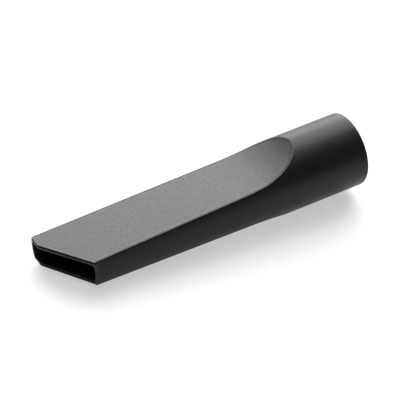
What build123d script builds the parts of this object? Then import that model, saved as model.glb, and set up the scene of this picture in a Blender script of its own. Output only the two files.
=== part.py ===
"""Crevice nozzle for a vacuum cleaner: a round socket that flattens into a slot mouth cut at a slant.

Millimetres. The origin is the centre of the socket's open face. +X points out of the socket, so
the mouth is at -X, and +Z is up, square to the flat of the blade. The mouth's tip is on the +Y side.
"""

import os
from math import acos, cos, degrees, radians, sin, sqrt, tan

from build123d import *

os.makedirs("parts", exist_ok=True)

# Socket and tube
TUBE_OUTER_R = 19.5  # outside radius at the open end
DRAFT = 0.31  # degrees the outside narrows towards the mouth, so that it leaves its mould
SOCKET_R = 17.5  # takes the 35 mm end of a hose or wand
SOCKET_DEPTH = 33.0  # to the shoulder that stops the wand
DUCT_R = 17.0  # air duct behind the shoulder, and between the blade's side walls
RIM_ROUND = 1.0
LEAD_IN = 0.5

# Blade seen from the side: a thin wedge, then a hollow scoop up to the tube
LENGTH = 169.5  # from the open face to the mouth's tip
TIP_HALF_HEIGHT = 6.3
BLADE_TAPER = 1.85  # degrees that each face rises away from the mouth
SCOOP_START = -66.0
SCOOP_R = 61.5

# Mouth seen from above: a blunt tip, then a slanting cut
MOUTH_ANGLE = 30.5  # degrees off square
BLUNT_EDGE_Y = 10.1  # where the blunt tip meets the slanting cut

# Cover panels, let into the blade's two faces
PANEL_T = 1.2
PANEL_INSET = 0.8  # how far inside the outside surface a panel's pocket ends
PANEL_GAP = 0.1
LIP_T = 0.4  # the panel's front lip, which hangs over the shadow groove
GROOVE_DEPTH = 1.0
DUCT_DEPTH = 2.4  # from the blade's face to its duct, through the panel and the wall
DUCT_CORNER_R = 1.0

# The duct's floor drops towards the mouth, so that the lower lip is thin
RELIEF = 0.7
RELIEF_FULL = -152.0  # from here to the mouth
RELIEF_END = -136.0

CLEAR = 30.0  # a reach that is well outside the nozzle


def outer_radius(x):
    """Outside radius of the tube, and of the blade's side walls, at station x."""
    return TUBE_OUTER_R + x * tan(radians(DRAFT))


def face_point(x, depth=0.0):
    """Point at station x on the plane that lies a given depth under the blade's upper face."""
    rise = (x + LENGTH) * tan(radians(BLADE_TAPER))
    return (x, TIP_HALF_HEIGHT + rise - depth / cos(radians(BLADE_TAPER)))


# The scoop leaves the blade's face at a tangent, so its arc is centred on the face's normal.
SCOOP_CX = SCOOP_START - SCOOP_R * sin(radians(BLADE_TAPER))
SCOOP_CZ = face_point(SCOOP_START)[1] + SCOOP_R * cos(radians(BLADE_TAPER))


def scoop_point(angle, depth=0.0):
    """Point on the scoop's arc, or a depth under it, at an angle in degrees from straight down."""
    radius = SCOOP_R + depth
    return (SCOOP_CX + radius * sin(radians(angle)), SCOOP_CZ - radius * cos(radians(angle)))


def scoop_angle(z, depth=0.0):
    """Angle in degrees at which the scoop's arc, or the arc a depth under it, is at height z."""
    return degrees(acos((SCOOP_CZ - z) / (SCOOP_R + depth)))


def side_view(depth=0.0):
    """Sketch of what lies between the two faces, seen from the side, a depth inside them."""
    top = scoop_angle(CLEAR, depth)
    middle = (BLADE_TAPER + top) / 2
    front = face_point(-LENGTH - CLEAR, depth)
    with BuildSketch(Plane.XZ) as view:
        with BuildLine():
            Line(front, scoop_point(BLADE_TAPER, depth))
            ThreePointArc(*(scoop_point(angle, depth) for angle in (BLADE_TAPER, middle, top)))
            Polyline(scoop_point(top, depth), (CLEAR, CLEAR), (CLEAR, 0), (front[0], 0), front)
        make_face()
        mirror(about=Plane.XZ)
    return view.sketch


def mouth_view(setback=0.0):
    """Sketch of what lies behind the mouth's blunt tip and slanting cut, seen from above."""
    slant = radians(MOUTH_ANGLE)
    corner = (-LENGTH + setback, BLUNT_EDGE_Y + setback * tan(slant / 2))
    far_x = corner[0] + (corner[1] + CLEAR) * tan(slant)
    with BuildSketch() as view:
        with BuildLine():
            outline = ((corner[0], CLEAR), corner, (far_x, -CLEAR), (CLEAR, -CLEAR), (CLEAR, CLEAR))
            Polyline(*outline, close=True)
        make_face()
    return view.sketch


def front_band(depth):
    """Sketch of the strip of a given depth along the mouth's edge, and the open space before it."""
    with BuildSketch() as view:
        with Locations((-LENGTH, 0)):
            Rectangle(2 * CLEAR, 2 * CLEAR)
        add(mouth_view(depth), mode=Mode.SUBTRACT)
    return view.sketch


def panel_half_width(x, z, inset):
    """Half the width of a panel where its face is at (x, z)."""
    return sqrt((outer_radius(x) - inset) ** 2 - z**2)


def panel_view(gap=0.0, full_width_lip=True):
    """Sketch of a panel's pocket seen from above, or of the panel itself, smaller by the gap."""
    inset = PANEL_INSET + gap
    top = scoop_angle(outer_radius(SCOOP_START / 2) - inset)
    sweep = [BLADE_TAPER + (top - BLADE_TAPER) * share for share in (0, 0.4, 0.65, 0.83, 0.95)]
    side = [(x, panel_half_width(x, z, inset)) for x, z in map(scoop_point, sweep)]
    front = -LENGTH - GROOVE_DEPTH
    corner = (front, panel_half_width(*face_point(front), inset))
    run = (side[0][0] - corner[0], side[0][1] - corner[1])
    round_end = [*side, (scoop_point(top)[0], 0), *((x, -y) for x, y in reversed(side))]
    with BuildSketch() as view:
        with BuildLine():
            Spline(*round_end, tangents=(run, (-run[0], run[1])))
            Polyline(side[0], corner, (corner[0], -corner[1]), (side[0][0], -side[0][1]))
        make_face()
        if full_width_lip:
            add(front_band(GROOVE_DEPTH - gap))
    return view.sketch


def relief_view():
    """Sketch of the duct's lower half near the mouth, seen from the side, with its dropped floor."""
    front = -LENGTH - CLEAR
    floor = [(RELIEF_END, DUCT_DEPTH), (RELIEF_FULL, DUCT_DEPTH - RELIEF), (front, DUCT_DEPTH - RELIEF)]
    line = [(x, -face_point(x, depth)[1]) for x, depth in floor]
    with BuildSketch(Plane.XZ) as view:
        with BuildLine():
            Polyline(*line, (front, 0), (RELIEF_END, 0), close=True)
        make_face()
    return view.sketch


# The outside of the whole nozzle, from which the body and both panels are cut
with BuildPart() as envelope:
    with BuildSketch():
        with BuildLine():
            front = -LENGTH - GROOVE_DEPTH
            Polyline((front, 0), (0, 0), (0, TUBE_OUTER_R), (front, outer_radius(front)), close=True)
        make_face()
    revolve(axis=Axis.X)
    extrude(side_view(), amount=CLEAR, both=True, mode=Mode.INTERSECT)
    extrude(mouth_view(), amount=CLEAR, both=True, mode=Mode.INTERSECT)

# The air duct: a round bore squeezed between the blade's two walls
with BuildPart() as duct:
    with BuildSketch(Plane.YZ.offset(-SOCKET_DEPTH)):
        Circle(DUCT_R)
    extrude(amount=-(LENGTH + CLEAR - SOCKET_DEPTH))
    extrude(side_view(DUCT_DEPTH), amount=CLEAR, both=True, mode=Mode.INTERSECT)
    ends = edges().group_by(Axis.X)
    fillet(edges() - ends[0] - ends[-1], DUCT_CORNER_R)

# The same bore with its floor dropped, over the last stretch to the mouth
with BuildPart() as mouth_relief:
    with BuildSketch(Plane.YZ.offset(RELIEF_END)):
        Circle(DUCT_R)
    extrude(amount=-(LENGTH + CLEAR + RELIEF_END))
    extrude(relief_view(), amount=CLEAR, both=True, mode=Mode.INTERSECT)

# The room for a panel: everything above its seat, inside its outline and along the mouth's edge
with BuildPart() as pocket:
    extrude(panel_view(), amount=CLEAR)
    extrude(side_view(PANEL_T), amount=CLEAR, both=True, mode=Mode.SUBTRACT)

# The lower pocket is the same, but it stops short of the side walls at the mouth too
with BuildPart() as lower_pocket:
    extrude(panel_view(full_width_lip=False), amount=CLEAR)
    extrude(side_view(PANEL_T), amount=CLEAR, both=True, mode=Mode.SUBTRACT)

# The body: socket, scoop and blade in one moulding
with BuildPart() as nozzle_body:
    add(envelope.part)
    add(duct.part, mode=Mode.SUBTRACT)
    add(pocket.part, mode=Mode.SUBTRACT)
    add(lower_pocket.part.mirror(Plane.XY), mode=Mode.SUBTRACT)
    add(mouth_relief.part, mode=Mode.SUBTRACT)
    with BuildSketch(Plane.YZ):
        Circle(SOCKET_R)
    extrude(amount=-SOCKET_DEPTH, mode=Mode.SUBTRACT)
    rim = faces().sort_by(Axis.X)[-1]
    chamfer(rim.inner_wires()[0].edges(), LEAD_IN)
    rim = faces().sort_by(Axis.X)[-1]
    fillet(rim.outer_wire().edges(), RIM_ROUND)

# The space under a panel's front lip, which shows as a dark line across the mouth
with BuildPart() as shadow_groove:
    extrude(front_band(GROOVE_DEPTH), amount=CLEAR)
    extrude(side_view(LIP_T), amount=CLEAR, both=True, mode=Mode.INTERSECT)

with BuildPart() as top_panel:
    extrude(panel_view(PANEL_GAP), amount=CLEAR)
    extrude(side_view(PANEL_T), amount=CLEAR, both=True, mode=Mode.SUBTRACT)
    add(envelope.part, mode=Mode.INTERSECT)
    add(shadow_groove.part, mode=Mode.SUBTRACT)

with BuildPart() as lower_panel_upright:
    extrude(panel_view(PANEL_GAP, full_width_lip=False), amount=CLEAR)
    extrude(side_view(PANEL_T), amount=CLEAR, both=True, mode=Mode.SUBTRACT)
    add(envelope.part, mode=Mode.INTERSECT)
    add(shadow_groove.part, mode=Mode.SUBTRACT)

with BuildPart() as bottom_panel:
    mirror(lower_panel_upright.part, about=Plane.XY)

for name, piece in (("nozzle_body", nozzle_body), ("top_panel", top_panel), ("bottom_panel", bottom_panel)):
    piece.part.label = name
    export_step(piece.part, f"parts/{name}.step")
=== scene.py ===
# %% [markdown]
# # A crevice nozzle
#
# This lesson builds the looks of a vacuum cleaner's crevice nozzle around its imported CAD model.
# The nozzle is a round socket that flattens through a scoop into a thin blade, with a slot mouth cut
# at a slant. It has three pieces: a smooth satin body, and two grained cover panels let into the
# blade's faces. Everything is in metres, in the CAD model's own frame: the origin is the centre of
# the socket's open face, +X points out of the socket and +Z is up, square to the flat of the blade.

# %% Load the frame
import math
from collections import namedtuple

import bmesh
import bpy
import numpy as np
from mathutils import Matrix, Vector


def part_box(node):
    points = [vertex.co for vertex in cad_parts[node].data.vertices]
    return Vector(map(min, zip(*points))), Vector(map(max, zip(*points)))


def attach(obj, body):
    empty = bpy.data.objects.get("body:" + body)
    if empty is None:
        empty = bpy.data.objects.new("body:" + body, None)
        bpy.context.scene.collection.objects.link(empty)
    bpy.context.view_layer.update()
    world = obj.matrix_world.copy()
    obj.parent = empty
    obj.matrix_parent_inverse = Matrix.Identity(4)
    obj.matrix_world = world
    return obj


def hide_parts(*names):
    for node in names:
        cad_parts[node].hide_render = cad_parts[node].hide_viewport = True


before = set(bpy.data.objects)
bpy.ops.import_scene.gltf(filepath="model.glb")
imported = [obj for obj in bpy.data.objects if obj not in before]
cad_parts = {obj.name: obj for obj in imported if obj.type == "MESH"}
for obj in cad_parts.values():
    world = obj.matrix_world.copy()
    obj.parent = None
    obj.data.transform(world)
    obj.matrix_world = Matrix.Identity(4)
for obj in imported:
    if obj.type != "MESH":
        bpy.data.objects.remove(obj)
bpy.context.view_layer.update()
MM = 0.001

# %% [markdown]
# ## The nozzle's few sizes
#
# A moulding like this is drawn from a handful of sizes. From the side the blade is a thin wedge, and
# the scoop is one arc that leaves the wedge at a tangent and runs up into the tube. The tube and the
# blade's side walls are the same slightly tapered cylinder, so the blade is only the tube with two
# slices taken off. The mouth is two straight cuts: a blunt tip, and a long slanting one.

# %% Sizes and the two outside surfaces
LENGTH = -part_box("nozzle_body")[0].x
TUBE_R = 19.5 * MM
DRAFT = math.radians(0.31)
TIP_HALF_HEIGHT = 6.3 * MM
BLADE_TAPER = math.radians(1.85)
SCOOP_START = -66.0 * MM
SCOOP_R = 61.5 * MM
scoop_cx = SCOOP_START - SCOOP_R * math.sin(BLADE_TAPER)
scoop_cz = (TIP_HALF_HEIGHT + (SCOOP_START + LENGTH) * math.tan(BLADE_TAPER)
            + SCOOP_R * math.cos(BLADE_TAPER))


def outer_radius(x):
    """Outside radius at station x: the open end's radius, less the mould's draft on the way back."""
    return TUBE_R + x * math.tan(DRAFT)


def face_height(x, depth=0.0):
    """Height of the upper face at station x, or of the surface a depth under it.

    On the blade it is a plane, tip height + distance from the tip x tan(taper) - depth / cos(taper).
    On the scoop it is an arc, centre height - sqrt((radius + depth)^2 - (x - centre)^2).
    """
    plane = TIP_HALF_HEIGHT + (x + LENGTH) * math.tan(BLADE_TAPER) - depth / math.cos(BLADE_TAPER)
    reach = SCOOP_R + depth
    arc = scoop_cz - np.sqrt(np.maximum(reach**2 - (x - scoop_cx) ** 2, 0.0))
    return np.where(x > scoop_cx + reach * math.sin(BLADE_TAPER), arc, plane)


print("half height at the scoop's start, mm:", round(float(face_height(SCOOP_START)) / MM, 2))

# %% [markdown]
# ## Rows that follow the slanting mouth
#
# Every surface here is a grid: columns run along the nozzle and rows run across it. The mouth is cut
# at a slant, so near it the rows have to be slanted too, or the cut would saw through the grid. Each
# row is a blend of the mouth's own outline, set back by some distance, and a straight station further
# up. Where a row lies depends on y, and the width depends on where the row lies, so the two are
# worked out in turn a few times until they agree.

# %% Rows
MOUTH_SLANT = math.radians(30.5)
BLUNT_EDGE_Y = 10.1 * MM
SETTLING_TURNS = 12  # far more than x and y need to agree
ALONG_BLADE = 25  # rows between the mouth's edge and the scoop
Rows = namedtuple("Rows", "setback blend")


def column_of(values):
    """A list of numbers as one value for each row."""
    return np.array(values, float)[:, None]


def mouth_kink(setback):
    """Where the mouth's two straight cuts meet, in y: the corner's y + setback x tan(slant / 2)."""
    return BLUNT_EDGE_Y + setback * math.tan(MOUTH_SLANT / 2)


def station(y, rows):
    """Station of each row at y: (1 - blend) x the mouth's outline + blend x the scoop's start.

    The outline, set back by a distance, is the further back of two lines: the blunt tip,
    x = setback - length, and the cut, x = (setback + (corner's y - y) sin(slant)) / cos(slant) - length.
    """
    slanting = (rows.setback + (BLUNT_EDGE_Y - y) * math.sin(MOUTH_SLANT)) / math.cos(MOUTH_SLANT)
    mouth = np.maximum(rows.setback, slanting) - LENGTH
    return (1 - rows.blend) * mouth + rows.blend * SCOOP_START


def make_rows(setbacks, blends):
    """Rows as two columns of numbers: how far behind the mouth's outline, and how far blended."""
    pair = np.broadcast_arrays(np.asarray(setbacks, float), np.asarray(blends, float))
    return Rows(*(numbers[:, None] for numbers in pair))


def settle(rows, across):
    """Points (x, y, z) whose y and z depend on x through across(x), and whose x depends on y."""
    y, z = across(np.full_like(rows.blend, SCOOP_START))
    for _ in range(SETTLING_TURNS):
        x = station(y, rows)
        y, z = across(x)
    return np.stack([x, y, z], axis=-1)


def blended(start, end, share):
    """Plain blend from start to end."""
    return start + (end - start) * share


def rounded(start, corner, end, share):
    """A rounded corner: the quadratic curve from start to end whose handle is the sharp corner."""
    return (1 - share) ** 2 * start + 2 * share * (1 - share) * corner + share**2 * end


def half_width(x, z, inset=0.0):
    """Half width of a slice of the tapered cylinder at height z: sqrt((r(x) - inset)^2 - z^2)."""
    return np.sqrt(np.maximum((outer_radius(x) - inset) ** 2 - z**2, 0.0))


print("half width at the scoop's start, mm:",
      round(float(half_width(SCOOP_START, face_height(SCOOP_START))) / MM, 2))

# %% [markdown]
# ## The body's section
#
# The body is injection-moulded in black plastic, and its look lives in its edges: a soft crease where
# each face meets the side walls, and a shallow pocket that a cover panel drops into. Boolean cuts
# would give these shapes but leave long thin triangles and razor edges. Here each column of the grid
# has a job instead - round the side wall, over the crease, across the land, down the pocket's wall,
# along its floor - so every edge gets a true small radius, and the columns never lose their way.
#
# Near its apex the scoop narrows to nothing, so rows there are laid out by angle round the tube, and
# every line that runs along the scoop is the same angle drawn on a slightly smaller tube.

# %% Columns
PANEL_T = 1.2 * MM
PANEL_INSET = 0.8 * MM
CREASE = 0.18 * MM
POCKET_EDGE = 0.07 * MM
FLOOR_TO_KINK = 0.75  # share of a floor's columns that lie on the near side of the mouth's kink
WALL, UPPER_WALL, OVER_CREASE, OVER_EDGE, FOOT, FLOOR = range(6)
Columns = namedtuple("Columns", "part share side")


def eased(count, power=1.0):
    """Shares from 0 to 1, crowded towards 1 when power is above 1."""
    return 1 - (1 - np.linspace(0, 1, count)) ** power


def spread_columns(side_parts, floor_count):
    """Columns over the upper half of a section: up the near side, across the floor, down the far side."""
    part = np.concatenate([np.full(len(shares), name) for name, shares in side_parts])
    share = np.concatenate([shares for _, shares in side_parts])
    floor = np.linspace(0, 1, floor_count + 2)[1:-1]
    return Columns(np.concatenate([part, np.full(floor_count, FLOOR), part[::-1]]),
                   np.concatenate([share, floor, share[::-1]]),
                   np.concatenate([-np.ones(len(part)), np.zeros(floor_count), np.ones(len(part))]))


body_columns = spread_columns(
    [(WALL, eased(14)[:-1]), (UPPER_WALL, eased(6, 1.6)[:-1]), (OVER_CREASE, eased(6)),
     (OVER_EDGE, eased(4)), (FOOT, np.ones(1))], 15)


def floor_line(columns, half, kink):
    """y across a floor whose half width is known: from -half to the mouth's kink, then on to +half."""
    share = columns.share
    return np.where(share < FLOOR_TO_KINK, blended(-half, kink, share / FLOOR_TO_KINK),
                    blended(kink, half, (share - FLOOR_TO_KINK) / (1 - FLOOR_TO_KINK)))


print("columns over the upper half:", len(body_columns.part))

# %% The outside, from the mouth to the scoop's start
KINK_SHARE = 0.6  # where the kink's column runs once it has left the mouth, as a share of the half


def blade_skin(rows, inset, band):
    """The body's outside along the blade, for its upper half.

    Wall: y = r cos(a), z = r sin(a), up to the crease's angle asin(face height / r). Land and pocket
    edge: y = sqrt((r - inset)^2 - face height^2). Floor: a panel's thickness under the face. Where
    band is 1, under the cover's front lip, everything above the floor is cut down to it.
    """
    part, share, side = body_columns

    def across(x):
        r, face = outer_radius(x) - inset, face_height(x)
        floor = face_height(x, PANEL_T + inset)
        low, crease = np.arcsin(floor / r), np.arcsin(np.minimum(face / r, 1))
        top = np.where(band > 0, low, crease - CREASE / r)
        angle = np.where(part == WALL, low * share, blended(low, top, share))
        edge, near_edge = half_width(x, face, PANEL_INSET), half_width(x, face, PANEL_INSET - POCKET_EDGE)
        over_y = rounded(r * np.cos(top), half_width(x, face), half_width(x, face, CREASE), share)
        over_z = rounded(r * np.sin(top), face, face, share)
        down = rounded(0, 0, POCKET_EDGE, share)
        kink = blended(mouth_kink(rows.setback), KINK_SHARE * edge, rows.blend)
        y = np.choose(part, [r * np.cos(angle), r * np.cos(angle),
                             np.where(band > 0, r * np.cos(low), over_y),
                             rounded(near_edge, edge, edge, share), edge, 0 * edge])
        z = np.choose(part, [r * np.sin(angle), r * np.sin(angle), over_z, face - down, floor, floor])
        z = np.where((band > 0) & (part >= OVER_CREASE), floor, z)
        return np.where(part == FLOOR, floor_line(body_columns, edge, kink), side * y), z

    return settle(rows, across)


GROOVE = 1.0 * MM  # depth of the shadow groove under each cover's front lip
band_rows = make_rows([0.0, 0.06 * MM, 0.2 * MM, GROOVE, GROOVE], 0.0)
band_inset = column_of([0.2, 0.06, 0.0, 0.0, 0.0]) * MM
band_state = column_of([1, 1, 1, 1, 0])
blade_front = blade_skin(band_rows, band_inset, band_state)
blade_front_below = blade_skin(band_rows, band_inset, 0 * band_state)
along_rows = make_rows(GROOVE, np.linspace(0, 1, ALONG_BLADE + 1)[1:])
no_band = column_of([0] * ALONG_BLADE)
blade_back = blade_skin(along_rows, 0.0, no_band)
print("blade rows:", len(blade_front) + len(blade_back), "width at the tip, mm:",
      round(float(np.ptp(blade_front[3, :, 1])) / MM, 2))


# %% The outside, up the scoop
def scoop_line(climb, inset, depth=0.0, radius=outer_radius):
    """A line up the scoop at constant inset from the tube: angle, x, y and z for each row.

    The angle goes evenly from the blade's edge, asin(face height / (r - inset)), to straight up. Then
    z = (r - inset) sin(angle), y = (r - inset) cos(angle), and x is where the arc is at height z.
    """
    start = np.arcsin(face_height(SCOOP_START + 1e-9, depth) / (radius(SCOOP_START) - inset))
    angle = blended(start, math.pi / 2, climb)
    x = np.full_like(angle, SCOOP_START)
    for _ in range(SETTLING_TURNS):
        z = (radius(x) - inset) * np.sin(angle)
        x = scoop_cx + np.sqrt((SCOOP_R + depth) ** 2 - (scoop_cz - z) ** 2)
    return angle, x, (radius(x) - inset) * np.cos(angle), z


def scoop_skin(climb):
    """The body's outside up the scoop, for its upper half: blade_skin's columns, laid by scoop_line."""
    part, share, side = body_columns
    angle, x_c, y_c, z_c = scoop_line(climb, 0.0)
    _, x_a, y_a, z_a = scoop_line(climb, CREASE)
    _, x_n, y_n, z_n = scoop_line(climb, PANEL_INSET - POCKET_EDGE)
    _, x_p, y_p, z_p = scoop_line(climb, PANEL_INSET)
    r = outer_radius(x_c)
    low, top = np.arcsin(face_height(x_c, PANEL_T) / r), angle - CREASE / r
    around = np.where(part == WALL, low * share, blended(low, top, share))
    floor = face_height(x_p, PANEL_T)
    x = np.choose(part, [x_c, x_c, rounded(x_c, x_c, x_a, share),
                         rounded(x_n, x_p, x_p, share), x_p, x_p])
    y = np.choose(part, [r * np.cos(around), r * np.cos(around),
                         rounded(r * np.cos(top), y_c, y_a, share),
                         rounded(y_n, y_p, y_p, share), y_p, 0 * y_p])
    z = np.choose(part, [r * np.sin(around), r * np.sin(around),
                         rounded(r * np.sin(top), z_c, z_a, share),
                         rounded(z_n, z_p, face_height(x_p, POCKET_EDGE), share), floor, floor])
    y = np.where(part == FLOOR, floor_line(body_columns, y_p, KINK_SHARE * y_p), side * y)
    return np.stack(np.broadcast_arrays(x, y, z), axis=-1)


climbs = eased(34, 1.25)[1:, None]
scoop = scoop_skin(climbs)
apex = scoop[-1, body_columns.part == UPPER_WALL, 0][0]
print("the scoop's apex, mm:", round(float(apex) / MM, 2))

# %% [markdown]
# ## The socket and the duct
#
# The other end is turned rather than cut: a plain tube with a well rounded rim, a small lead-in so
# that the hose's end finds its way, a straight bore that grips it, and a narrow shoulder that stops
# it. Past the shoulder the duct follows the outside at an even wall, round at first and then flat. A
# profile carried round the axis gives the first part, and the blade's own rows give the second.

# %% The tube, the bore and the duct
SOCKET_R, SOCKET_DEPTH, DUCT_R = 17.5 * MM, 33.0 * MM, 17.0 * MM
RIM_ROUND, LEAD_IN = 1.0 * MM, 0.5 * MM
DUCT_DEPTH, DUCT_CORNER = 2.4 * MM, 0.8 * MM
LOWER_WALL = 0.9  # share of the duct's side wall that the wall's own columns cover
FOOT_IN, EDGE_IN = 0.955, 0.985  # where the last columns before the floor stand on the duct's flat
KINK_LIMIT = 0.7  # the kink stays inside this share of the flat, where the duct is narrow


def ring(x, radius):
    """Rows round the axis: y = radius cos(angle), z = radius sin(angle), at the scoop's last angles."""
    part, _, side = body_columns
    last = np.arctan2(scoop[-1, :, 2], np.abs(scoop[-1, :, 1]))
    over = math.pi / 2 - CREASE / outer_radius(apex) * (1 - body_columns.share)
    angle = np.where(part <= UPPER_WALL, last, np.where(part == OVER_CREASE, over, math.pi / 2))
    x, radius = np.broadcast_arrays(column_of(x), np.asarray(radius, float)[:, None])
    y, z = side * radius * np.cos(angle), radius * np.sin(angle)
    return np.stack(np.broadcast_arrays(x, y, z), axis=-1)


def duct_part(rows_x, flare, kink, relief=0.0):
    """Section of the duct at stations x: y and z for each column of the body.

    Arc: y = R cos(a), z = R sin(a), up to asin(height / R). Flat: the outside's profile, a wall's
    depth under it, less the relief. The corner between them is rounded. Flare opens it all a little.
    """
    part, share, side = body_columns
    radius = DUCT_R + flare
    flat = face_height(rows_x, DUCT_DEPTH - flare - relief)
    sharp = np.arcsin(np.minimum(flat / radius, 1))
    half = radius * np.cos(sharp)
    trim = np.minimum(DUCT_CORNER, half / 2)
    top = sharp - trim / radius
    around = np.where(part == WALL, LOWER_WALL * top * share, blended(LOWER_WALL * top, top, share))
    height = radius * np.sin(sharp)
    over_y = rounded(radius * np.cos(top), half, half - trim, share)
    over_z = rounded(radius * np.sin(top), height, height, share)
    flat_half = half - trim
    inner = flat_half * np.where(part == FOOT, FOOT_IN, EDGE_IN)
    y = np.choose(part, [radius * np.cos(around), radius * np.cos(around), over_y, inner, inner, 0 * inner])
    z = np.where(part <= UPPER_WALL, radius * np.sin(around),
                 np.where(part == OVER_CREASE, over_z, height))
    flat_y = floor_line(body_columns, flat_half * FOOT_IN, np.minimum(kink, KINK_LIMIT * flat_half))
    return np.where(part == FLOOR, flat_y, side * y), z


past_apex = apex + np.array([0.3, 0.9, 2.0]) * MM
tube_x = np.concatenate([past_apex, np.linspace(apex + 6 * MM, -RIM_ROUND, 7)])
turn = np.linspace(0, math.pi / 2, 8)[1:]
tube = ring(tube_x, outer_radius(tube_x))
rim = ring(-RIM_ROUND + RIM_ROUND * np.sin(turn), TUBE_R - RIM_ROUND + RIM_ROUND * np.cos(turn))
bore_x = -np.array([0.0, 0.12 * MM, LEAD_IN, 0.7 * MM, 12 * MM, 24 * MM, SOCKET_DEPTH, SOCKET_DEPTH])
lead_in_r = SOCKET_R + np.array([LEAD_IN, LEAD_IN - 0.12 * MM, 0.02 * MM])
bore_r = np.concatenate([lead_in_r, np.full(4, SOCKET_R), [DUCT_R]])
bore = ring(bore_x, bore_r)
duct_climb = np.linspace(1, 0, 20)[:, None]
_, duct_x, _, _ = scoop_line(duct_climb, 0.0, DUCT_DEPTH, lambda x: DUCT_R + 0 * x)
duct_kink = KINK_SHARE * DUCT_R
duct_back = np.stack(np.broadcast_arrays(duct_x, *duct_part(duct_x, 0.0, duct_kink)), axis=-1)
print("the duct is round from, mm:", round(float(duct_x[0, 0]) / MM, 2))

duct_rows = make_rows(0.0, np.linspace(1, 0, 22)[1:])
lip_rows = make_rows([0.15 * MM, 0.04 * MM, 0.0], 0.0)
lip_flare = column_of([0.0, 0.04, 0.15]) * MM
RELIEF, RELIEF_FULL, RELIEF_END = 0.7 * MM, -152.0 * MM, -136.0 * MM


def duct_mouth(relief):
    """The duct's rows from the scoop to the mouth; a relief thins the wall over the last stretch.

    It grows evenly from nothing at one station to its full depth at another, and stays so after.
    """
    def section(x, rows, flare):
        thinned = relief * np.clip((RELIEF_END - x) / (RELIEF_END - RELIEF_FULL), 0, 1)
        return duct_part(x, flare, mouth_kink(rows.setback), thinned)

    front = settle(duct_rows, lambda x: section(x, duct_rows, 0.0))
    lip = settle(lip_rows, lambda x: section(x, lip_rows, lip_flare))
    return np.concatenate([front[:-1], lip])


# %% [markdown]
# ## From grids to meshes
#
# A half section is mirrored in z to close the loop, and the rows run from the mouth along the outside,
# over the rim, and back along the inside to the mouth, so the whole body is one closed sheet. Where
# the scoop runs out, many columns share one point. Merging those points closes the seams for good,
# and weighted normals keep the big faces flat right up to their rounded edges.

# %% Mesh helpers
MERGE_DISTANCE = 0.002 * MM
SHARP_ANGLE = math.radians(32)


def full_loop(half, below=None):
    """The upper half of every row, then the lower half's columns mirrored in z, in reverse order."""
    lower = (half if below is None else below)[:, -2:0:-1] * np.array([1, 1, -1])
    return np.concatenate([half, lower], axis=1)


def around_loop(values):
    """One value for each column of the upper half, carried round the full loop in the same way."""
    return np.concatenate([values, values[-2:0:-1]])


def grid_quads(row_count, column_count, close_rows=True):
    """Corner numbers of the quads of a grid whose columns close on themselves, and its rows if asked."""
    row = np.arange(row_count if close_rows else row_count - 1)[:, None]
    column = np.arange(column_count)[None, :]
    after, beside = (row + 1) % row_count, (column + 1) % column_count
    corners = [row * column_count + column, after * column_count + column,
               after * column_count + beside, row * column_count + beside]
    return np.stack(np.broadcast_arrays(*corners), axis=-1)


def build_piece(name, points, quads, wear_and_highlight, node):
    """Makes a closed mesh of the points and quads, merges shared points, and puts it in the frame."""
    mesh = bpy.data.meshes.new(name)
    mesh.from_pydata(points.reshape(-1, 3).tolist(), [], quads.reshape(-1, 4).tolist())
    wear_and_highlight_layer = mesh.attributes.new("wear_and_highlight", "FLOAT", "POINT")
    wear_and_highlight_layer.data.foreach_set("value", wear_and_highlight.ravel().astype(np.float32))
    shell = bmesh.new()
    shell.from_mesh(mesh)
    bmesh.ops.remove_doubles(shell, verts=shell.verts, dist=MERGE_DISTANCE)
    bmesh.ops.dissolve_degenerate(shell, edges=shell.edges, dist=MERGE_DISTANCE)
    open_edges = sum(1 for edge in shell.edges if len(edge.link_faces) != 2)
    volume = shell.calc_volume(signed=True)
    shell.to_mesh(mesh)
    shell.free()
    mesh.shade_smooth()
    mesh.set_sharp_from_angle(angle=SHARP_ANGLE)
    piece = bpy.data.objects.new(name, mesh)
    bpy.context.scene.collection.objects.link(piece)
    weighted = piece.modifiers.new("flat_faces", "WEIGHTED_NORMAL")
    weighted.keep_sharp = True
    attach(piece, "root")
    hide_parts(node)
    print(name, len(mesh.polygons), "faces; open edges", open_edges,
          "; volume mm3", round(volume / MM**3, 1))
    return piece


# %% The body
shared = [blade_back, scoop, tube, rim, bore, duct_back]
upper_half = np.concatenate([blade_front, *shared, duct_mouth(0.0)])
lower_half = np.concatenate([blade_front_below, *shared, duct_mouth(RELIEF)])
body_loop = full_loop(upper_half, lower_half)
scoop_end = len(blade_front) + len(blade_back) + len(scoop) - 1
body_quads = grid_quads(*body_loop.shape[:2])
# The pocket ends at the apex, so no quads join its columns to the tube's.
part_loop = around_loop(body_columns.part)
in_pocket = part_loop > OVER_CREASE
keep = np.ones(body_quads.shape[:2], bool)
keep[scoop_end, in_pocket | np.roll(in_pocket, -1)] = False

# From 0, untouched, to 1, rubbed all the time, plus a painted edge highlight on the crease and land.
MOUTH_WEAR, RIM_WEAR, MOUTH_ROWS = 0.3, 0.6, 3
body_wear_and_highlight = np.zeros(body_loop.shape[:2])
# painted highlight: the crease and the land beside the pocket are lifted to a bright edge line
body_wear_and_highlight[:scoop_end + 1] = np.isin(part_loop, (OVER_CREASE, OVER_EDGE))
body_wear_and_highlight[:MOUTH_ROWS] = MOUTH_WEAR
rim_row = scoop_end + 1 + len(tube)
body_wear_and_highlight[rim_row:rim_row + len(rim)] = RIM_WEAR
nozzle = build_piece("nozzle_moulding", body_loop, body_quads[keep], body_wear_and_highlight, "nozzle_body")

# %% [markdown]
# ## The cover panels
#
# Each panel is a plate with a spark-eroded grain, dropped into its pocket with a hair of clearance, so
# that its face is flush with the land around it. At the mouth it ends in a thin lip, with a groove
# under it that reads as a dark line. The upper lip spreads to the full width; the lower one doesn't.
# The plate is a closed loop of columns - over the top, down a wall, back underneath - carried along
# the same rows as the pocket it sits in.

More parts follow.
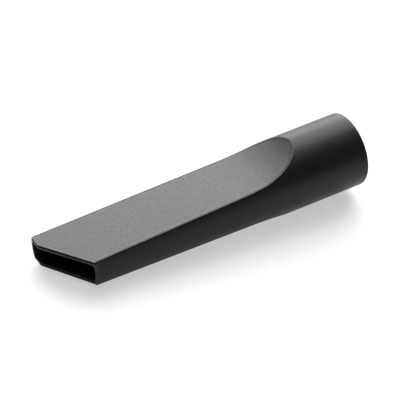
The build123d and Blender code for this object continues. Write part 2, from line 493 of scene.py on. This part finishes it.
# %% The panels
PANEL_GAP = 0.1 * MM
LIP_T, LIP_LENGTH = 0.4 * MM, 0.9 * MM
LIP_ROUND, PANEL_ROUND = 0.18 * MM, 0.09 * MM
SEAT = PANEL_INSET + PANEL_GAP
EDGE, ACROSS = range(2)
panel_half = spread_columns([(EDGE, eased(6))], 31)
panel_columns = panel_half._replace(part=np.where(panel_half.part == FLOOR, ACROSS, EDGE))


def panel_section(rows, inset, band, thickness):
    """A panel's rows along the blade, top then underside, as two arrays of points.

    Edge: from the wall, rounded over to the face, at y = sqrt((r - seat)^2 - face height^2), or out
    at the side wall itself where band is 1. Across: evenly from edge to edge, with the mouth's kink.
    """
    part, share, side = panel_columns
    lip = band > 0

    def edge_y(x, depth):
        own = half_width(x, face_height(x, depth), inset)
        return np.where(lip, own, half_width(x, face_height(x), SEAT))

    def across(x, depth, bend):
        edge = edge_y(x, depth)
        start = edge_y(x, depth + bend)
        inner = edge - bend
        kink = blended(mouth_kink(rows.setback), KINK_SHARE * edge, rows.blend)
        y = np.where(part == EDGE, side * rounded(start, edge, inner, share),
                     floor_line(panel_columns, inner, kink))
        down = np.where(part == EDGE, rounded(bend, 0.0, 0.0, share), 0.0)
        return y, face_height(x, depth + down)

    bend = np.where(lip, LIP_ROUND - inset, PANEL_ROUND)
    top = settle(rows, lambda x: across(x, inset, bend))
    under = settle(rows, lambda x: across(x, thickness, 0.0))
    return top, under


def panel_up_scoop(climb):
    """A panel's rows up the scoop, top then underside, laid by scoop_line."""
    part, share, side = panel_columns
    _, x_e, y_e, _ = scoop_line(climb, SEAT)
    _, x_n, y_n, _ = scoop_line(climb, SEAT + PANEL_ROUND)
    x_top = np.where(part == EDGE, rounded(x_e, x_e, x_n, share), x_n)
    y_top = np.where(part == EDGE, side * rounded(y_e, y_e, y_n, share),
                     floor_line(panel_columns, y_n, KINK_SHARE * y_n))
    down = np.where(part == EDGE, rounded(PANEL_ROUND, 0.0, 0.0, share), 0.0)
    y_low = np.where(part == EDGE, side * y_e, floor_line(panel_columns, y_e, KINK_SHARE * y_e))
    top = np.stack(np.broadcast_arrays(x_top, y_top, face_height(x_top, down)), axis=-1)
    return top, np.stack(np.broadcast_arrays(x_e, y_low, face_height(x_e, PANEL_T)), axis=-1)


lip_setbacks = [0.0, 0.03 * MM, 0.12 * MM, LIP_LENGTH, LIP_LENGTH, GROOVE, GROOVE]
lip_inset = column_of([0.12, 0.03, 0.0, 0.0, 0.0, 0.0, 0.0]) * MM
lip_state = column_of([1, 1, 1, 1, 0, 0, 0])
lip_thick = column_of([LIP_T] * 6 + [PANEL_T])


def cover(name, node, wings, flip):
    """One cover: its rows joined into a closed loop, capped at the mouth, and flipped if it is below.

    Wings is the lip's state row by row: 1 where it spreads to the body's full width.
    """
    parts = [panel_section(make_rows(lip_setbacks, 0.0), lip_inset, wings, lip_thick),
             panel_section(along_rows, 0.0, no_band, PANEL_T),
             panel_up_scoop(climbs)]
    top = np.concatenate([upper for upper, _ in parts])
    under = np.concatenate([lower for _, lower in parts])
    loop = np.concatenate([top, under[:, ::-1]], axis=1)
    quads = grid_quads(*loop.shape[:2], close_rows=False).reshape(-1, 4)
    left, last = np.arange(top.shape[1] - 1), loop.shape[1] - 1
    quads = np.concatenate([quads, np.stack([left, left + 1, last - 1 - left, last - left], axis=-1)])
    wear_and_highlight = np.zeros(loop.shape[:2])
    # painted edge highlight and wear: along every edge of the panel's face and over its front lip
    wear_and_highlight[:, :top.shape[1]] = panel_columns.part == EDGE
    wear_and_highlight[:MOUTH_ROWS, :top.shape[1]] = 1.0
    if flip:
        loop, quads = loop * np.array([1, 1, -1]), quads[:, ::-1]
    return build_piece(name, loop, quads, wear_and_highlight, node)


top_cover = cover("top_cover", "top_panel", lip_state, False)
bottom_cover = cover("bottom_cover", "bottom_panel", 0 * lip_state, True)

# %% [markdown]
# ## Shader sums
#
# A finish is a little arithmetic on noise, so this class lets a socket be used in a Python sum: every
# operator adds one Math node, and any other node comes from one method.

# %% A wire
class Wire:
    """An output socket that can be added, subtracted and multiplied, with wires or with numbers."""

    def __init__(self, socket):
        self.socket = socket

    @classmethod
    def node(cls, tree, kind, settings=None, inputs=None, output=0):
        """A node of a type, with its settings made first and then its sockets' values or links."""
        made = tree.nodes.new(kind)
        for name, value in (settings or {}).items():
            setattr(made, name, value)
        for name, value in (inputs or {}).items():
            if isinstance(value, cls):
                tree.links.new(value.socket, made.inputs[name])
            else:
                made.inputs[name].default_value = value
        return cls(made.outputs[output])

    def sum(self, operation, *others):
        """One Math node of this wire and others, in that order."""
        values = {number: value for number, value in enumerate((self,) + others)}
        return Wire.node(self.socket.id_data, "ShaderNodeMath", {"operation": operation}, values)

    def __add__(self, other):
        return self.sum("ADD", other)

    __radd__ = __add__

    def __sub__(self, other):
        return self.sum("SUBTRACT", other)

    def __rsub__(self, other):
        return self * -1.0 + other

    def __mul__(self, other):
        return self.sum("MULTIPLY", other)

    __rmul__ = __mul__

    def ramp(self, low, high):
        """0 below low, 1 above high, and a straight slope between."""
        settings = {"clamp": True}
        inputs = {"Value": self, "From Min": low, "From Max": high}
        return Wire.node(self.socket.id_data, "ShaderNodeMapRange", settings, inputs)


def start_finish(name):
    """A new material: its tree, its shader, and the place of each point on the object in metres."""
    material = bpy.data.materials.new(name)
    material.use_nodes = True
    shader = material.node_tree.nodes["Principled BSDF"]
    place = Wire.node(material.node_tree, "ShaderNodeTexCoord", output="Object")
    return material, material.node_tree, shader, place


def noise(tree, place, size, detail=2.0, roughness=0.5):
    """Noise whose features are about the given size in metres; it runs from 0 to 1."""
    inputs = {"Vector": place, "Scale": 1.0 / size, "Detail": detail, "Roughness": roughness}
    return Wire.node(tree, "ShaderNodeTexNoise", {"noise_dimensions": "3D"}, inputs)


MIX_FACTOR, MIX_A, MIX_B, MIX_RESULT = 0, 6, 7, 2


def tint(tree, share, dark, light):
    """A colour between two others, given by a share; each may be numbers or a wire."""
    ends = [end if isinstance(end, Wire) else (*end, 1.0) for end in (dark, light)]
    inputs = {MIX_FACTOR: share, MIX_A: ends[0], MIX_B: ends[1]}
    return Wire.node(tree, "ShaderNodeMix", {"data_type": "RGBA"}, inputs, output=MIX_RESULT)


def connect(tree, wires, shader):
    """Links each named socket of the shader to its wire."""
    for name, wire in wires.items():
        tree.links.new(wire.socket, shader.inputs[name])


# %% [markdown]
# ## Satin black
#
# The body looks like black polypropylene off a lightly blasted mould: nearly black, with a soft sheen.
# Such a mould leaves a very fine even texture, the plastic flows in faint long streaks, and handling
# polishes some places and scuffs the edges grey. So colour, roughness and bump each get their own noise,
# and a per-point attribute lifts the edges: as scuffed wear at the mouth and the rim, and as a painted edge
# highlight along the crease and the land round the pocket.

# %% Satin black
SATIN_DARK, SATIN_LIGHT = (0.0045, 0.0045, 0.0048), (0.0145, 0.0143, 0.014)
# grey of scuffed wear, also used as a painted edge highlight on the crease and land
SATIN_WORN_AND_HIGHLIGHT = (0.09, 0.0895, 0.089)
ALONG_STRETCH = 0.12  # squeezes the x axis, so that the noise runs in streaks along the nozzle


def satin_black():
    """The body's finish: fine blasted texture, faint flow streaks, scuffed edges and a painted edge
    highlight.
    """
    material, tree, shader, place = start_finish("satin_black_plastic")
    along = Wire.node(tree, "ShaderNodeMapping", {"vector_type": "POINT"},
                      {"Vector": place, "Scale": (ALONG_STRETCH, 1.0, 1.0)})
    streaks = noise(tree, along, 2.2 * MM, 3.0)
    handling = noise(tree, place, 14 * MM, 4.0, 0.55)
    blasting = noise(tree, place, 0.22 * MM, 2.0, 0.6)
    pits = noise(tree, place, 0.8 * MM, 2.0, 0.6)
    scuffs = noise(tree, place, 1.6 * MM, 5.0, 0.7).ramp(0.42, 0.7)
    wear_and_highlight = Wire.node(tree, "ShaderNodeAttribute", {"attribute_name": "wear_and_highlight"}, output="Fac")
    # painted edge highlight and wear: the base colour is lifted towards the grey where the attribute is set
    worn_and_highlight = wear_and_highlight * (scuffs * 0.6 + 0.4)
    shade = streaks * 0.4 + handling * 0.3 + pits * 0.3
    plain = tint(tree, shade, SATIN_DARK, SATIN_LIGHT)
    roughness = 0.29 + streaks * 0.06 + handling * 0.08 + blasting * 0.05 + worn_and_highlight * 0.1
    relief = blasting * 0.55 + pits * 0.45
    bump = Wire.node(tree, "ShaderNodeBump", {},
                     {"Height": relief, "Strength": 0.22, "Distance": 0.03 * MM})
    shader.inputs["Specular IOR Level"].default_value = 0.23
    connect(tree, {"Base Color": tint(tree, worn_and_highlight, plain, SATIN_WORN_AND_HIGHLIGHT),
                   "Roughness": roughness, "Normal": bump}, shader)
    return material


nozzle.data.materials.append(satin_black())
print("satin black:", len(nozzle.data.materials[0].node_tree.nodes), "nodes")

# %% [markdown]
# ## Grained black
#
# The panels look as if they come off a spark-eroded mould, which leaves a matt grain of tiny craters.
# Light catches the tops and dies in the hollows, so the face reads as a mottled grey. Craters are smooth
# noise at two sizes in the bump, with the hollows also painted darker in the colour, as painted shade, and
# rougher than the tops.

# %% Grained black
GRAIN_DARK, GRAIN_LIGHT = (0.009, 0.009, 0.0092), (0.042, 0.0415, 0.041)
# the panels' edge colour: a painted edge highlight as well as wear
GRAIN_WORN_AND_HIGHLIGHT = (0.066, 0.0655, 0.065)


def grained_black():
    """The panels' finish: a spark-eroded grain with painted shade in its hollows, and a painted edge
    highlight and wear at its edges.
    """
    material, tree, shader, place = start_finish("grained_black_plastic")
    craters = noise(tree, place, 1.0 * MM, 3.0, 0.6)
    specks = noise(tree, place, 0.35 * MM, 2.0, 0.6)
    clouds = noise(tree, place, 3.5 * MM, 4.0, 0.6).ramp(0.3, 0.7)
    wear_and_highlight = Wire.node(tree, "ShaderNodeAttribute", {"attribute_name": "wear_and_highlight"}, output="Fac")
    grain = craters * 0.65 + specks * 0.35
    tops = grain.ramp(0.36, 0.64)
    # painted shade: the crater hollows get the dark colour and the tops the light one; the clouds are
    # random mottle
    shade = tops * 0.6 + clouds * 0.4
    plain = tint(tree, shade, GRAIN_DARK, GRAIN_LIGHT)
    roughness = 0.5 - tops * 0.09 + clouds * 0.06 - wear_and_highlight * 0.04
    bump = Wire.node(tree, "ShaderNodeBump", {},
                     {"Height": grain, "Strength": 0.75, "Distance": 0.18 * MM})
    shader.inputs["Specular IOR Level"].default_value = 0.46
    # painted edge highlight and wear lift the panels' edges and front lips towards a lighter grey
    connect(tree, {"Base Color": tint(tree, wear_and_highlight, plain, GRAIN_WORN_AND_HIGHLIGHT),
                   "Roughness": roughness, "Normal": bump}, shader)
    return material


grained = grained_black()
top_cover.data.materials.append(grained)
bottom_cover.data.materials.append(grained)
print("grained black:", len(grained.node_tree.nodes), "nodes")

# %% [markdown]
# ## Table, camera and light
#
# Put down on a table, the nozzle rests on the lowest point of its socket's rim and on the blade's
# tip, so it is the table that tilts in this frame. The table is a plain pale sheet that glows a little,
# which keeps it white under a light that leaves the nozzle dark. The light is one large soft panel
# behind the nozzle, low enough to graze the blade's faces and leave the near side dark, with a weak one
# overhead.

# %% The table
body_low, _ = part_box("nozzle_body")
rest_tilt = math.atan2(-body_low.z - TIP_HALF_HEIGHT, LENGTH)
table_up = Vector((math.sin(rest_tilt), 0, math.cos(rest_tilt)))
heights = [vertex.co.dot(table_up) for piece in (nozzle, bottom_cover) for vertex in piece.data.vertices]
TABLE_GAP = 0.02 * MM
table_drop = min(heights) - TABLE_GAP
centre = Vector((body_low.x / 2, 0, 0))
TABLE_SIZE = 8.0


def table_points(count):
    """A flat square grid square to table_up: centre + a u + b v, with a and b across the table."""
    reach = np.linspace(-TABLE_SIZE / 2, TABLE_SIZE / 2, count)
    across, along = np.meshgrid(reach, reach)
    flat = np.stack([across * table_up.z + centre.x, along, -across * table_up.x + 0 * along], axis=-1)
    lift = table_drop - flat @ np.array(table_up)
    return flat + lift[..., None] * np.array(table_up)


TABLE_COUNT = 9
table_mesh = bpy.data.meshes.new("table")
table_quads = grid_quads(TABLE_COUNT, TABLE_COUNT, close_rows=False)[:, :-1].reshape(-1, 4)
table_corners = table_points(TABLE_COUNT).reshape(-1, 3)
table_mesh.from_pydata(table_corners.tolist(), [], table_quads[:, ::-1].tolist())
table = bpy.data.objects.new("table", table_mesh)
bpy.context.scene.collection.objects.link(table)
white, white_tree, white_shader, white_place = start_finish("white_sheet")
fibres = noise(white_tree, white_place, 3 * MM, 3.0)
sheet_colour = tint(white_tree, fibres, (0.37, 0.37, 0.37), (0.4, 0.4, 0.4))
connect(white_tree, {"Base Color": sheet_colour}, white_shader)
SHEET_ROUGHNESS, SHEET_GLOW = 0.6, 0.5
white_shader.inputs["Roughness"].default_value = SHEET_ROUGHNESS
white_shader.inputs["Emission Color"].default_value = (1, 1, 1, 1)
white_shader.inputs["Emission Strength"].default_value = SHEET_GLOW
table_mesh.materials.append(white)
print("the table tilts by", round(math.degrees(rest_tilt), 2), "degrees; drop, mm:",
      round(table_drop / MM, 2))

# %% The camera
VIEW_TARGET = Vector((-0.0844, 0.0048, 0.0))
VIEW_DISTANCE = 0.7217
VIEW_AZIMUTH, VIEW_ELEVATION, VIEW_ROLL = (math.radians(a) for a in (-27.84, 36.73, 0.83))
VIEW_LENS = 131.8


def from_direction(azimuth, elevation):
    """Unit vector towards a place: (sin a cos e, -cos a cos e, sin e)."""
    flat = math.cos(elevation)
    return Vector((math.sin(azimuth) * flat, -math.cos(azimuth) * flat, math.sin(elevation)))


back = from_direction(VIEW_AZIMUTH, VIEW_ELEVATION)
level = (-back).cross(table_up).normalized()
upright = level.cross(-back)
right = math.cos(VIEW_ROLL) * level + math.sin(VIEW_ROLL) * upright
up = math.cos(VIEW_ROLL) * upright - math.sin(VIEW_ROLL) * level
camera = bpy.data.objects.new("camera", bpy.data.cameras.new("camera"))
camera.data.lens = VIEW_LENS
camera.data.clip_start = 0.01
camera.matrix_world = Matrix.Translation(VIEW_TARGET + back * VIEW_DISTANCE) @ Matrix(
    (right, up, back)).transposed().to_4x4()
bpy.context.scene.collection.objects.link(camera)
bpy.context.scene.camera = camera
print("camera at", [round(v, 4) for v in camera.matrix_world.translation])


# %% The lights
def soft_panel(name, azimuth, elevation, distance, width, height, radiance):
    """A rectangular light aimed at the nozzle; its power is pi x area x radiance."""
    lamp = bpy.data.lights.new(name, "AREA")
    lamp.shape = "RECTANGLE"
    lamp.size, lamp.size_y = width, height
    lamp.energy = math.pi * width * height * radiance
    towards = from_direction(math.radians(azimuth), math.radians(elevation))
    panel = bpy.data.objects.new(name, lamp)
    panel.matrix_world = Matrix.Translation(centre + towards * distance) @ towards.to_track_quat(
        "Z", "Y").to_matrix().to_4x4()
    bpy.context.scene.collection.objects.link(panel)
    return panel


soft_panel("back_panel", azimuth=142.0, elevation=36.5, distance=2.0, width=2.8, height=2.3, radiance=5.6)
soft_panel("overhead_panel", azimuth=0.0, elevation=88.0, distance=1.5, width=1.5, height=1.5, radiance=1.3)
ROOM_LIGHT = 0.1
world = bpy.data.worlds.new("room")
world.use_nodes = True
world.node_tree.nodes["Background"].inputs["Color"].default_value = (1, 1, 1, 1)
world.node_tree.nodes["Background"].inputs["Strength"].default_value = ROOM_LIGHT
bpy.context.scene.world = world
bpy.context.scene.view_settings.view_transform = "Standard"
